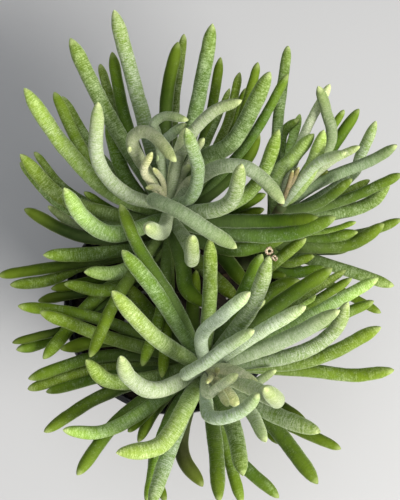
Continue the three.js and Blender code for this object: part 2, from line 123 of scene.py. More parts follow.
BACK_LEFT_LEAVES = {
    "heart": [
        ("taupe", 48, 5.6, (-20, 77, 68), (-17, 85, 76), (-9, 82, 80), (1, 70, 78)),
        ("silver", 48, 4.2, (-8, 81, 69), (-10, 89, 76), (-4, 93, 80), (7, 91, 79)),
        # This leaf and the next lie in the shade of their neighbours and wear the snowy coat, paler than
        # their own felt, as painted light.
        ("snowy", 49, 4.4, (-5, 77, 62), (-1, 84, 68), (6, 89, 72)),
        ("snowy", 49, 3.8, (0, 70, 64), (6, 87, 80)),
        ("cream", 47, 3.6, (-12, 60, 59), (-15, 66, 67), (-11, 75, 71)),
        ("golden", 49, 2.8, (-8, 57, 58), (-14, 57, 62)),
        ("golden", 50, 2.6, (-6, 61, 60), (-10.5, 67, 66)),
        # This leaf lies in shade and wears the snowy coat, paler than its own cream felt, as painted light.
        ("snowy", 48, 4.4, (-5, 65, 56), (-8, 74, 60)),
        ("cream", 47, 2.8, (-19, 71, 60), (-22.5, 77.5, 66)),
        ("cream", 47, 3.6, (8, 71, 60), (15, 82, 70)),
        ("cream", 50, 3.6, (4, 64, 60), (8, 68, 67)),
        ("cream", 48, 4.2, (6, 59, 57), (11, 62, 64)),
    ],
    "silver_leaves": [
        ("taupe", 49, 5.2, (4, 76, 72), (18, 94, 84), (34, 101, 82)),
        ("felted", 49, 5.9, (8, 52, 62), (12, 66, 77), (6, 87, 90)),
        ("white", 47, 6.5, (-24, 54, 60), (-38, 71, 70), (-38, 100, 80)),
        ("silver", 46, 6.3, (17, 65, 64), (33, 68, 72), (45, 61, 71), (55, 49, 63)),
        ("felted", 46, 7.0, (12, 45, 60), (28, 50, 72), (34, 69, 84)),
        ("ash", 48, 6.4, (-10, 51, 68), (3, 45, 76), (17, 36, 74), (31.5, 27, 62)),
        ("white", 42, 6.6, (-6, 35, 62), (-14, 38, 82)),
        ("felted", 40, 6.1, (7, 29, 56), (9, 21, 68), (9, 33, 84)),
    ],
    "long_leaves": [
        ("felted", 42, 7.1, (-18, 102, 60), (-30, 146, 76)),
        ("sage", 40, 7.2, (-31, 90, 56), (-52, 132, 70)),
        ("lime", 38, 7.5, (-32, 55, 48), (-55, 78, 57), (-75, 107, 64)),
        ("sage", 40, 6.9, (7.5, 81, 54), (14.4, 113, 66), (19.3, 139.3, 75)),
        ("sage", 40, 7.6, (12, 69, 54), (30, 81, 62), (48, 115, 74)),
        ("fresh", 38, 6.4, (26, 48, 52), (43, 61.5, 58), (52.5, 86.5, 66)),
        ("lime", 38, 7.6, (-28, 34, 50), (-44, 41, 54), (-55, 57, 62)),
        ("green", 34, 7.0, (26, 34.5, 44), (56, 34, 49), (81, 42.5, 54)),
        ("dark", 36, 6.4, (26, 40.5, 48), (52, 40.5, 50), (73, 42, 52)),
    ],
    "green_leaves": [
        ("dark", 34, 6.5, (-4, 96, 52), (2, 130, 62)),
        ("green", 30, 5.9, (-23, 87, 44), (-31, 125, 54)),
        ("fresh", 28, 7.2, (-24, 62, 34), (-33, 92, 36)),
        ("dark", 28, 7.2, (31, 66, 38), (43, 84, 40)),
        ("bright", 30, 5.8, (-40, 68, 38), (-60, 105, 44)),
        ("sage", 26, 4.6, (-37, 73, 30), (-56, 103, 33)),
        ("sage", 26, 4.8, (-26, 85, 38), (-37, 119, 42)),
        ("sage", 26, 4.7, (0, 95, 42), (5, 134, 50)),
        ("green", 28, 5.0, (16.2, 86, 44), (23.3, 122.5, 54)),
        ("fresh", 24, 4.6, (24, 83, 38), (33, 115, 44)),
        ("sage", 34, 3.2, (15, 76, 48), (28, 107, 54)),
        ("green", 18, 4.0, (23, 76, 32), (36, 107, 36)),
        ("green", 28, 4.8, (28, 80, 46), (37, 102, 52), (42, 120, 56)),
        ("green", 26, 4.8, (35, 77, 46), (57, 114, 58)),
        ("fresh", 32, 6.8, (-32, 44, 40), (-57, 53, 43), (-77, 74, 48)),
        ("sage", 26, 5.2, (-32, 41, 32), (-56, 48, 34), (-77, 70, 36)),
        ("sage", 20, 4.1, (-49, 53, 26), (-70, 75, 28)),
        ("old", 22, 6.3, (-44, 32.5, 25), (-75, 46.5, 28)),
        ("ash", 14, 5.0, (-38, 32, 17), (-63, 48, 18)),
        ("green", 24, 4.2, (-29, 45, 30), (-45, 55, 34)),
        ("green", 34, 7.2, (4, 20, 44), (6.5, 6.5, 43), (17, -2.5, 38)),
        ("green", 26, 7.2, (26, 27, 35), (43, 28.5, 36), (58, 35, 38)),
        ("green", 26, 6.2, (22, 44, 34), (46, 54, 38)),
        ("green", 24, 6.2, (24, 40, 29), (45, 46.5, 30)),
        ("dark", 26, 7.4, (20, 27, 29), (38, 6, 27)),
        ("bright", 22, 7.4, (16, 16, 23), (32, 1, 22)),
    ],
    "low_leaves": [
        ("fresh", 18, 7.2, (-37, 24.5, 20), (-65.5, 23.5, 22)),
        ("dark", 10, 5.8, (-49, 19.3, 12), (-88, 13.2, 14)),
        ("bright", 4, 6.2, (-41, 20, 7), (-62, 11, 7), (-82, 8.5, 8)),
        ("lime", 22, 7.0, (-24, 16, 32), (-45, 15, 36)),
        ("bright", 12, 6.2, (-29, 7, 18), (-55, 9, 19)),
        ("old", 2, 5.8, (-34, 8.5, 6), (-68, 0.5, 6)),
        ("old", 6, 4.4, (-38, -7, 10), (-81, -20.5, 10)),
        ("green", 0, 6.2, (-38, -4, 5), (-64, -19.5, 5), (-79, -24, 5)),
        ("bright", 3, 6.8, (-37, 3.5, 9), (-65.5, -28.5, 9)),
        ("bright", 30, 5.8, (-27, 4.5, 40), (-42, -27.5, 38)),
        ("bright", 28, 5.6, (-6, -2, 37), (-16, -32, 34)),
        ("bright", 24, 5.4, (-3, -4, 32), (-6, -38, 32)),
    ],
    "old_leaves": [
        ("old", 12, 5.6, (-1, 80, 18), (1, 106, 22)),
        ("dark", 4, 5.6, (-36, 12, 8), (-61.5, 6.5, 8)),
        ("old", 10, 5.2, (16, 52, 14), (30, 62, 16)),
    ],
}

FRONT_LEAVES = {
    "heart": [
        ("white", 40, 5.5, (6, -36, 60), (16, -30, 70), (27, -22, 74), (40, -14, 76)),
        # This leaf lies in shade and wears the snowy coat, paler than its own felt, as painted light.
        ("snowy", 40, 4.0, (16, -46, 57), (23, -42, 64), (32, -36, 70)),
        # This leaf lies in shade and wears the cream coat, paler than its own felt, as painted light.
        ("cream", 40, 3.4, (22, -43, 54), (27, -52, 62)),
        ("golden", 41, 2.6, (20, -36, 54), (22, -33, 60)),
        ("golden", 41, 2.4, (21, -40, 54), (25, -39, 60)),
        ("golden", 42, 2.6, (19, -36, 58), (16.5, -40.5, 63)),
        # These two leaves lie in shade and wear the cream coat, paler than their own felt, as painted light.
        ("cream", 38, 6.0, (30, -35, 52), (43, -43, 54)),
        ("cream", 36, 6.2, (25, -44, 50), (32, -52, 52)),
    ],
    "silver_leaves": [
        ("white", 40, 5.6, (16, -49, 56), (18, -57, 64), (27, -57.5, 70), (36, -53, 74), (42.5, -45.5, 76)),
        ("snowy", 40, 5.9, (14, -17, 58), (24, -7, 68), (38, 5, 74)),
        ("pale", 40, 5.9, (43, -15, 60), (66, -2, 68)),
        ("silver", 38, 6.8, (53, -20, 56), (83, -4, 62)),
        ("white", 38, 7.1, (-8, -44, 54), (-22, -38, 60), (-27, -27, 64)),
        ("white", 36, 6.8, (35, -41, 56), (51, -49, 70), (45, -43, 84)),
        ("white", 36, 5.6, (36, -52, 52), (46, -70, 60)),
        ("felted", 36, 7.4, (46, -54, 52), (73, -65, 60)),
    ],
    "long_leaves": [
        ("lime", 40, 7.2, (-9, -18, 58), (-31, 5.5, 66)),
        ("fresh", 36, 6.9, (-7, 2, 56), (-26, 26, 62)),
        ("green", 34, 6.0, (0.5, -2, 52), (-17, 26, 58), (-27, 49, 64)),
        ("fresh", 36, 6.4, (18, 6, 54), (18, 32, 60)),
        ("felted", 36, 7.2, (38, -4, 54), (48, 23, 64)),
        ("felted", 34, 6.6, (57.5, -27, 48), (79, -15.5, 50), (87, 0, 54)),
        ("bright", 30, 6.4, (66, -29.5, 40), (103.5, -12.5, 44)),
        ("bright", 24, 6.3, (66, -34.2, 31), (90, -36.6, 33), (110, -34, 35)),
        ("lime", 36, 7.8, (6, -52, 48), (-7, -71.5, 50), (-29, -75.5, 50)),
        ("felted", 32, 6.7, (-0.3, -69, 44), (-12, -103, 48)),
        ("green", 28, 6.8, (20.5, -69, 38), (22.5, -100, 42)),
        ("sage", 34, 7.4, (29, -61, 48), (34.5, -87, 54)),
        ("green", 32, 7.0, (46, -58, 42), (72, -91, 48)),
    ],
    "green_leaves": [
        ("green", 28, 6.9, (48, -4, 40), (79, 17, 46)),
        ("bright", 13, 6.0, (34, 4, 20), (53, 22, 25), (66, 32, 28)),
        ("fresh", 22, 7.2, (-10, -38, 27), (-32, -39.5, 32), (-44, -29, 38)),
        ("lime", 28, 6.2, (-17, -55.5, 36), (-37, -65, 36), (-55.5, -64, 38)),
        ("green", 16, 6.0, (-35, -46.5, 22), (-65, -65, 22)),
        ("green", 20, 6.3, (-25.5, -57, 28), (-48.5, -86.5, 28)),
        ("bright", 24, 5.6, (-5.5, -66, 32), (-13.4, -101, 32)),
        ("dark", 16, 5.2, (-9.5, -76, 22), (-4.5, -100, 22)),
        ("brown", 12, 7.0, (3.5, -71, 18), (14.4, -92.3, 16)),
        ("bright", 18, 5.4, (25, -70, 26), (34, -101, 26)),
        ("taupe", 30, 4.2, (33, -43, 42), (51, -34, 44)),
        ("green", 20, 5.4, (49.5, -57, 26), (83.5, -73.5, 28)),
        ("green", 26, 4.0, (38, -54, 34), (52, -71, 36)),
        ("green", 14, 6.2, (25.5, -70, 20), (52.5, -98, 20)),
        ("green", 12, 4.7, (-7, -49, 20), (-23, -65, 20)),
        ("green", 6, 5.6, (-8, -52, 12), (-18, -70, 12)),
        ("lime", 22, 5.9, (58, -12, 32), (102, 12, 34)),
        ("fresh", 18, 4.2, (53, -5, 25), (86, 16, 27)),
        ("green", 12, 4.8, (55, -9, 19), (89, 12, 20)),
        ("lime", 14, 4.4, (62, -2, 22), (71, 3.5, 22)),
        ("green", 20, 6.4, (47, 4, 28), (63, 11, 30)),
        ("green", 24, 6.8, (33, 1, 40), (44, 24, 48)),
        ("green", 20, 6.2, (9.5, -10, 28), (11, 16, 29)),
        ("green", 18, 7.4, (-9, -9, 24), (-24.5, 9.5, 26)),
        ("pale", 34, 5.5, (36, -6, 46), (45.5, 1, 48)),
        ("green", 12, 5.5, (58, -17, 20), (100, 0.5, 20)),
    ],
    "low_leaves": [
        ("bright", 14, 5.8, (-39, -8, 17), (-78, -2, 20)),
        ("bright", 20, 6.2, (-29, -19, 24), (-67, -5, 29)),
        ("dark", 13, 6.8, (-27, -19, 16), (-57, -23.5, 17)),
        ("green", 8, 6.0, (-35, -27, 12), (-73, -38.5, 13)),
        ("bright", 2, 5.8, (-35, -32.5, 6), (-73, -43.5, 6)),
        ("green", 0, 5.4, (-30, -36, 5), (-64, -45, 5)),
    ],
    "old_leaves": [
        ("old", 6, 5.6, (44, -46, 9), (66, -60, 10)),
        ("old", 4, 5.6, (24, -56, 7), (31, -76, 8)),
        ("old", 2, 5.6, (19, -60, 6), (22, -82, 6)),
        ("old", 2, 5.6, (-4, -62, 5), (-8, -84, 6)),
    ],
}

BACK_RIGHT_LEAVES = {
    "bracts": [
        ("tan", 36, 2.2, (56.5, 56, 47), (59.5, 66, 50)),
        ("tan", 36, 2.6, (58.5, 59, 46), (62.5, 67.5, 49)),
    ],
    "silver_leaves": [
        ("white", 36, 4.8, (70, 68, 54), (86, 75, 62)),
        ("white", 36, 4.2, (75, 68, 48), (93, 78, 52)),
        ("green", 36, 5.0, (71.5, 49, 44), (89, 61.5, 48)),
        ("lime", 34, 6.9, (67, 64, 48), (75, 86, 58)),
        ("ash", 34, 5.6, (72, 59.5, 42), (98, 70.5, 47), (111.5, 78.5, 50)),
        ("green", 30, 5.2, (85, 51, 38), (114, 64, 42)),
    ],
    "long_leaves": [
        ("lime", 32, 6.7, (51, 62, 42), (60, 73, 48), (70, 84, 54)),
        # This leaf lies in shade and wears the snowy coat, paler than its own felt, as painted light.
        ("snowy", 32, 4.5, (64, 81, 48), (78, 109, 56)),
        ("ash", 32, 5.3, (77, 77, 54), (76, 96, 62), (72, 108, 66)),
        ("sage", 26, 5.3, (52, 91, 46), (57, 128, 50)),
    ],
    "green_leaves": [
        ("lime", 28, 4.6, (57, 73, 38), (63, 94, 42)),
        ("sage", 24, 4.6, (53, 73, 38), (55, 85, 42), (62.5, 91.5, 44)),
        ("green", 26, 3.6, (72, 76, 42), (85, 96, 48)),
        ("green", 24, 5.9, (75, 72, 36), (92.5, 96.5, 42)),
        ("felted", 22, 5.5, (86, 61, 33), (93.5, 74, 36), (101, 90.5, 38)),
        ("fresh", 24, 4.1, (78, 51, 32), (98, 61, 34)),
        ("sage", 26, 6.7, (78, 44, 32), (97, 49, 32), (108, 60, 34)),
        ("green", 10, 6.9, (65, 28, 15), (88, 29, 17), (105, 39, 20)),
        ("bright", 16, 2.8, (73, 35, 26), (91, 40, 30)),
        ("green", 12, 5.2, (78, 32, 18), (97, 35, 18), (114, 41.5, 18)),
        ("green", 12, 5.6, (72, 32, 18), (92, 35, 18)),
    ],
    "low_leaves": [
        ("sage", 6, 6.1, (73, 20, 10), (110, 8, 10)),
        ("bright", 12, 5.0, (55, 20, 16), (70, 23, 16)),
        ("brown", 6, 4.8, (56, 9, 9), (75, -3, 9)),
        ("green", 6, 4.4, (45, 16, 10), (56, 13, 10)),
        ("bright", 10, 5.6, (54, 15, 12), (76, 17, 13)),
        ("green", 2, 4.6, (73, 11, 6), (103.5, -5.5, 6)),
    ],
    "old_leaves": [
        ("brown", 30, 4.6, (64, 60, 38), (77, 65.5, 40)),
        ("old", 4, 5.4, (76, 48, 7), (92, 56, 9)),
        ("old", 4, 5.6, (76, 26, 7), (90, 28, 7)),
    ],
}

# Each stem rises from its foot in the soil, at x and y, to a growing point that is given as seen.

STEMS = {
    "stem_back_left": ((-3, 15), (-3, 51, 52), BACK_LEFT_LEAVES),
    "stem_front": ((9, -17), (16, -34, 44), FRONT_LEAVES),
    "stem_back_right": ((27, 14), (54, 48, 40), BACK_RIGHT_LEAVES),
}

FELTED_GROUPS = ("heart", "silver_leaves", "long_leaves")

# Two dried curls cling to the tip of a leaf on the front stem. Each is given by its place as seen, its
# radius in millimetres and its turn.

WITHERED_CURLS = (
    ((47.5, 25.5, 71), 1.25, (0.3, 0.2, 0)),
    ((50.3, 22.0, 70), 1.0, (-0.3, 0.5, 0)),
)

CURL_THICKNESS = 0.42
CURL_FOLD = 0.9 * MM

# A coat is how much felt is left on the skin, the felt's colour, and the colour of the skin under it.
# Leaves that lie in the shade of their neighbours wear a paler coat than their own, as painted light.

SNOWY_FELT = (0.76, 0.83, 0.63)
WHITE_FELT = (0.54, 0.61, 0.44)
SILVER_FELT = (0.40, 0.46, 0.31)
ASH_FELT = (0.31, 0.37, 0.22)
# The cream felt is partly the hearts' own cream and partly painted light: it is made paler for the cream
# leaves that lie in shade.
CREAM_FELT = (0.70, 0.69, 0.50)
TAUPE_FELT = (0.40, 0.44, 0.30)
GOLDEN_FELT = (0.56, 0.50, 0.32)
TAN_FELT = (0.36, 0.27, 0.17)
LIME_FELT = (0.66, 0.81, 0.40)
GREEN_FELT = (0.52, 0.64, 0.34)
PALE_SKIN = (0.26, 0.39, 0.08)
GREY_SKIN = (0.16, 0.22, 0.08)
LIME_SKIN = (0.26, 0.41, 0.035)
BRIGHT_SKIN = (0.125, 0.215, 0.006)
GREEN_SKIN = (0.074, 0.138, 0.005)
OLIVE_SKIN = (0.12, 0.165, 0.006)
DARK_SKIN = (0.042, 0.080, 0.004)
OLD_SKIN = (0.018, 0.036, 0.008)
BROWN_SKIN = (0.040, 0.044, 0.018)

COATS = {
    "snowy": (1.0, SNOWY_FELT, PALE_SKIN),
    "white": (0.85, WHITE_FELT, PALE_SKIN),
    "silver": (0.95, SILVER_FELT, GREY_SKIN),
    "ash": (0.92, ASH_FELT, GREY_SKIN),
    "cream": (1.0, CREAM_FELT, GREY_SKIN),
    "taupe": (1.0, TAUPE_FELT, GREY_SKIN),
    "golden": (1.0, GOLDEN_FELT, OLIVE_SKIN),
    "tan": (1.0, TAN_FELT, BROWN_SKIN),
    "pale": (0.72, SNOWY_FELT, LIME_SKIN),
    "lime": (0.5, LIME_FELT, LIME_SKIN),
    "fresh": (0.35, LIME_FELT, BRIGHT_SKIN),
    "felted": (0.55, WHITE_FELT, BRIGHT_SKIN),
    "sage": (0.44, GREEN_FELT, GREEN_SKIN),
    "bright": (0.26, LIME_FELT, BRIGHT_SKIN),
    "green": (0.19, GREEN_FELT, GREEN_SKIN),
    "dark": (0.0, GREEN_FELT, DARK_SKIN),
    "old": (-0.1, GREEN_FELT, OLD_SKIN),
    "brown": (0.0, TAUPE_FELT, BROWN_SKIN),
}


def on_sight_plane(across, up):
    return RIM_CENTRE + SIGHT_RIGHT * across * MM + SIGHT_UP * up * MM


EYE = on_sight_plane(EYE_ACROSS, EYE_UP) + SIGHT_BACK * EYE_DISTANCE * MM


def from_seen(point):
    across, up, height = point
    seen = on_sight_plane(across, up)
    reach = (RIM_HEIGHT + height * MM - EYE.z) / (seen.z - EYE.z)
    return EYE.lerp(seen, reach)


# Hand tools: what is selected, moved and finished

def deselect():
    bpy.ops.object.select_all(action="DESELECT")


def take(*pieces):
    """Selects these pieces alone, the first one active."""
    deselect()
    for piece in pieces:
        piece.select_set(True)
    bpy.context.view_layer.objects.active = pieces[0]


def settle(piece, name):
    """Puts a piece's place into its mesh and names it."""
    take(piece)
    bpy.ops.object.transform_apply(location=True, rotation=True, scale=True)
    piece.name = name
    piece.data.name = name
    return piece


def modify(piece, kind, **settings):
    """Adds a modifier with these settings and applies it."""
    take(piece)
    modifier = piece.modifiers.new(kind.lower(), kind)
    for setting, value in settings.items():
        setattr(modifier, setting, value)
    bpy.ops.object.modifier_apply(modifier=modifier.name)


def select_where(piece, kind, wanted):
    """In edit mode, selects the vertices, edges or faces for which wanted is true, and no others."""
    bpy.ops.mesh.select_mode(type=kind)
    bpy.ops.mesh.select_all(action="DESELECT")
    shape = bmesh.from_edit_mesh(piece.data)
    members = {"VERT": shape.verts, "EDGE": shape.edges, "FACE": shape.faces}[kind]
    for member in members:
        if wanted(member):
            member.select_set(True)
    shape.select_flush_mode()
    bmesh.update_edit_mesh(piece.data)


def copy_of(piece):
    """A copy with its own mesh."""
    copy = piece.copy()
    copy.data = piece.data.copy()
    bpy.context.scene.collection.objects.link(copy)
    return copy


def join(pieces, name):
    take(*pieces)
    if len(pieces) > 1:
        bpy.ops.object.join()
    return settle(bpy.context.object, name)


def face_outwards(piece):
    take(piece)
    bpy.ops.object.mode_set(mode="EDIT")
    bpy.ops.mesh.select_all(action="SELECT")
    bpy.ops.mesh.normals_make_consistent(inside=False)
    bpy.ops.object.mode_set(mode="OBJECT")


def smooth(piece):
    take(piece)
    bpy.ops.object.shade_smooth()


def clouds(name, size, depth=2):
    """A soft noise that modifiers push a surface by."""
    texture = bpy.data.textures.new(name, "CLOUDS")
    texture.noise_scale = size
    texture.noise_depth = depth
    return texture


# Finishes

class Flow:
    """A number, colour or direction on its way through a finish. Sums on it add its maths nodes."""

    def __init__(self, finish, socket):
        self.finish = finish
        self.socket = socket

    def maths(self, operation, first, second):
        return self.finish.node("ShaderNodeMath", {"operation": operation}, {0: first, 1: second})

    def __add__(self, other):
        return self.maths("ADD", self, other)

    def __radd__(self, other):
        return self.maths("ADD", other, self)

    def __sub__(self, other):
        return self.maths("SUBTRACT", self, other)

    def __rsub__(self, other):
        return self.maths("SUBTRACT", other, self)

    def __mul__(self, other):
        return self.maths("MULTIPLY", self, other)

    def __rmul__(self, other):
        return self.maths("MULTIPLY", other, self)


class Finish:
    """A material, built up node by node round one shader."""

    def __init__(self, name):
        self.material = bpy.data.materials.new(name)
        self.material.use_nodes = True
        self.tree = self.material.node_tree
        self.shader = self.tree.nodes["Principled BSDF"]

    def node(self, kind, settings=None, inputs=None, output=0):
        made = self.tree.nodes.new(kind)
        for setting, value in (settings or {}).items():
            if setting == "stops":
                self.set_stops(made.color_ramp, value)
            else:
                setattr(made, setting, value)
        for socket, value in (inputs or {}).items():
            self.feed(made.inputs[socket], value)
        return Flow(self, made.outputs[output])

    def set_stops(self, ramp, stops):
        while len(ramp.elements) < len(stops):
            ramp.elements.new(0.5)
        for element, (place, colour) in zip(ramp.elements, stops):
            element.position = place
            element.color = (*colour, 1)

    def feed(self, socket, value):
        if isinstance(value, Flow):
            self.tree.links.new(value.socket, socket)
        elif socket.type == "RGBA":
            socket.default_value = (*value, 1)
        else:
            socket.default_value = value

    def attribute(self, name, output):
        return self.node("ShaderNodeAttribute", {"attribute_name": name}, output=output)

    def object_place(self):
        return self.node("ShaderNodeTexCoord", output="Object")

    def stretched(self, place, scales):
        return self.node("ShaderNodeVectorMath", {"operation": "MULTIPLY"}, {0: place, 1: scales})

    def noise(self, place, scale, detail=2.0, roughness=0.5, distortion=0.0):
        inputs = {
            "Vector": place,
            "Scale": scale,
            "Detail": detail,
            "Roughness": roughness,
            "Distortion": distortion,
        }
        return self.node("ShaderNodeTexNoise", {}, inputs)

    def step(self, value, low, high, bottom=0.0, top=1.0):
        inputs = {"Value": value, "From Min": low, "From Max": high, "To Min": bottom, "To Max": top}
        return self.node("ShaderNodeMapRange", {"interpolation_type": "SMOOTHSTEP"}, inputs)

    def mix(self, share, first, second, blend="MIX"):
        settings = {"data_type": "RGBA", "blend_type": blend}
        return self.node("ShaderNodeMix", settings, {0: share, 6: first, 7: second}, output=2)

    def bump(self, height, strength, distance, under=None):
        inputs = {"Height": height, "Strength": strength, "Distance": distance}
        if under is not None:
            inputs["Normal"] = under
        return self.node("ShaderNodeBump", {}, inputs)

    def surface(self, **sockets):
        """Feeds the shader's sockets, whose names have spaces where these have underscores."""
        for name, value in sockets.items():
            self.feed(self.shader.inputs[name.replace("_", " ")], value)
        return self.material


def leaf_finish(name, sheen, sheen_tint, smoothest, gloss, relief_strength):
    """Skin under felt. The felt lies in fine rings and has worn through to the skin in places."""
    finish = Finish(name)
    place = finish.attribute("leaf_place", "Vector")
    share = finish.attribute("leaf_share", "Fac")
    skin = finish.attribute("leaf_skin", "Color")
    felt = finish.attribute("leaf_felt", "Color")
    cover = finish.attribute("leaf_felt", "Alpha")

    lines = finish.noise(finish.stretched(place, (2.3, 0.3, 0.3)), 1.0, 1.0, 0.5, 0.8)
    rings = finish.step(lines, 0.38, 0.6)
    fibres = finish.noise(place, 1.7, 4.0, 0.75)
    patches = finish.noise(finish.stretched(place, (0.2, 0.3, 0.3)), 1.0, 4.0, 0.65, 0.6)
    level = cover + (rings - 0.5) * (cover * 0.4) + (patches - 0.5) * 0.95 + (fibres - 0.5) * 0.9
    felted = finish.step(level, 0.15, 0.9) * 0.85 + cover * 0.15

    root = finish.step(share, 0.8, 0.2)
    tip = finish.step(share, 0.7, 0.98)
    nib = finish.step(share, 0.955, 0.99)
    bare = finish.step(cover, 0.95, 0.6)
    mottled = finish.mix(finish.step(patches, 0.35, 0.7), skin, (0.62, 0.66, 0.5), "MULTIPLY")
    banded = finish.mix((1.0 - rings) * 0.22, mottled, (0.74, 0.78, 0.64), "MULTIPLY")
    rooted = finish.mix(root * 0.6, banded, (0.11, 0.16, 0.06))
    tipped = finish.mix(tip * 0.25, rooted, (0.30, 0.42, 0.03))
    # Towards its base the felt is darkened: partly the felt's own greyer colour there, partly painted shade
    # where the leaves crowd round the stem.
    shaded = finish.mix(root * bare, felt, (0.58, 0.62, 0.60), "MULTIPLY")
    ringed = finish.mix((1.0 - rings) * 0.6, shaded, (0.66, 0.76, 0.55), "MULTIPLY")
    woolly = finish.mix(finish.step(fibres, 0.56, 0.44) * 0.75, ringed, (0.66, 0.72, 0.58), "MULTIPLY")
    tinted = finish.mix(tip * 0.7, woolly, (0.95, 1.0, 0.58), "MULTIPLY")
    coloured = finish.mix(felted, tipped, tinted)
    ended = finish.mix(nib * (0.15 + cover * 0.5), coloured, (0.70, 0.78, 0.36))

    relief = rings * 0.5 + fibres * 0.5
    normal = finish.bump(relief, relief_strength, 0.2 * MM)
    roughness = finish.step(felted, 0.0, 1.0, smoothest, 0.95)
    return finish.surface(
        Base_Color=ended,
        Roughness=roughness,
        Normal=normal,
        Sheen_Weight=sheen,
        Sheen_Roughness=0.35,
        Sheen_Tint=sheen_tint,
        Specular_IOR_Level=gloss,
        Specular_Tint=sheen_tint,
    )


def stalk_finish():
    """Green-brown stalk with paler scars where leaves fell."""
    finish = Finish("stalk")
    place = finish.object_place()
    bark = finish.noise(place, 900.0, 4.0, 0.6)
    bands = finish.noise(finish.stretched(place, (60, 60, 420)), 1.0, 3.0)
    green = finish.mix(bark, (0.06, 0.10, 0.02), (0.12, 0.15, 0.05))
    barked = finish.mix(finish.step(bands, 0.45, 0.65), green, (0.12, 0.10, 0.05))
    normal = finish.bump(bark, 0.6, 0.5 * MM)
    return finish.surface(Base_Color=barked, Roughness=0.8, Normal=normal)


def withered_finish():
    """Dry leaf, pale where it stands out and brown in its folds."""
    finish = Finish("withered leaf")
    folds = finish.noise(finish.object_place(), 1300.0, 3.0, 0.6)
    dried = finish.mix(finish.step(folds, 0.4, 0.58), (0.16, 0.08, 0.045), (0.66, 0.55, 0.38))
    return finish.surface(Base_Color=dried, Roughness=0.9, Normal=finish.bump(folds, 0.8, 0.3 * MM))


def pot_finish():
    """Black moulded plastic with a satin skin, faint scuffs and a little dust."""
    finish = Finish("pot plastic")
    place = finish.object_place()
    grain = finish.noise(place, 2200.0, 2.0)
    scuffs = finish.noise(finish.stretched(place, (1, 1, 0.25)), 160.0, 5.0, 0.65)
    dust = finish.noise(place, 60.0, 4.0, 0.6)
    dusty = finish.step(dust, 0.5, 0.8) * 0.35
    plain = finish.mix(scuffs, (0.010, 0.011, 0.015), (0.018, 0.019, 0.024))
    coloured = finish.mix(dusty, plain, (0.060, 0.052, 0.042))
    roughness = finish.step(scuffs, 0.3, 0.75, 0.34, 0.52)
    normal = finish.bump(grain, 0.15, 0.1 * MM)
    return finish.surface(Base_Color=coloured, Roughness=roughness, Normal=normal)


def soil_finish():
    finish = Finish("potting soil")
    place = finish.object_place()
    crumbs = finish.noise(place, 420.0, 6.0, 0.7)
    damp = finish.noise(place, 55.0, 3.0)
    tones = [(0.25, (0.008, 0.006, 0.004)), (0.55, (0.030, 0.020, 0.012)), (0.8, (0.10, 0.068, 0.042))]
    crumbly = finish.node("ShaderNodeValToRGB", {"stops": tones}, {"Fac": crumbs})
    damped = finish.mix(finish.step(damp, 0.4, 0.65) * 0.5, crumbly, (0.03, 0.02, 0.013))
    normal = finish.bump(crumbs, 1.0, 1.2 * MM)
    return finish.surface(Base_Color=damped, Roughness=0.95, Normal=normal)


def bark_finish():
    finish = Finish("bark chips")
    place = finish.object_place()
    streaks = finish.noise(place, 700.0, 4.0, 0.6)
    which = finish.noise(place, 90.0, 1.0)
    brown = finish.mix(streaks, (0.030, 0.017, 0.010), (0.12, 0.070, 0.038))
    varied = finish.mix(finish.step(which, 0.45, 0.6), brown, (0.05, 0.035, 0.025))
    return finish.surface(Base_Color=varied, Roughness=0.9, Normal=finish.bump(streaks, 0.8, 0.4 * MM))


def perlite_finish():
    finish = Finish("perlite")
    place = finish.object_place()
    pores = finish.noise(place, 1500.0, 4.0, 0.7)
    white = finish.mix(finish.step(pores, 0.3, 0.7), (0.42, 0.40, 0.36), (0.74, 0.73, 0.69))
    return finish.surface(Base_Color=white, Roughness=0.95, Normal=finish.bump(pores, 0.9, 0.4 * MM))


# Leaves

def leaf_radius(share, from_tip, girth):
    swell = LEAF_BASE_SHARE + (1 - LEAF_BASE_SHARE) * math.sin(math.pi / 2 * min(share / LEAF_FULL_AT, 1))
    taper = 1 - LEAF_TAPER * (max(share - LEAF_FULL_AT, 0) / (1 - LEAF_FULL_AT)) ** 2
    into_tip = 1 - min(from_tip / (LEAF_TIP_LENGTH * girth), 1)
    closing = (1 - into_tip**2) ** LEAF_TIP_POINT
    return girth / 2 * swell * taper * closing


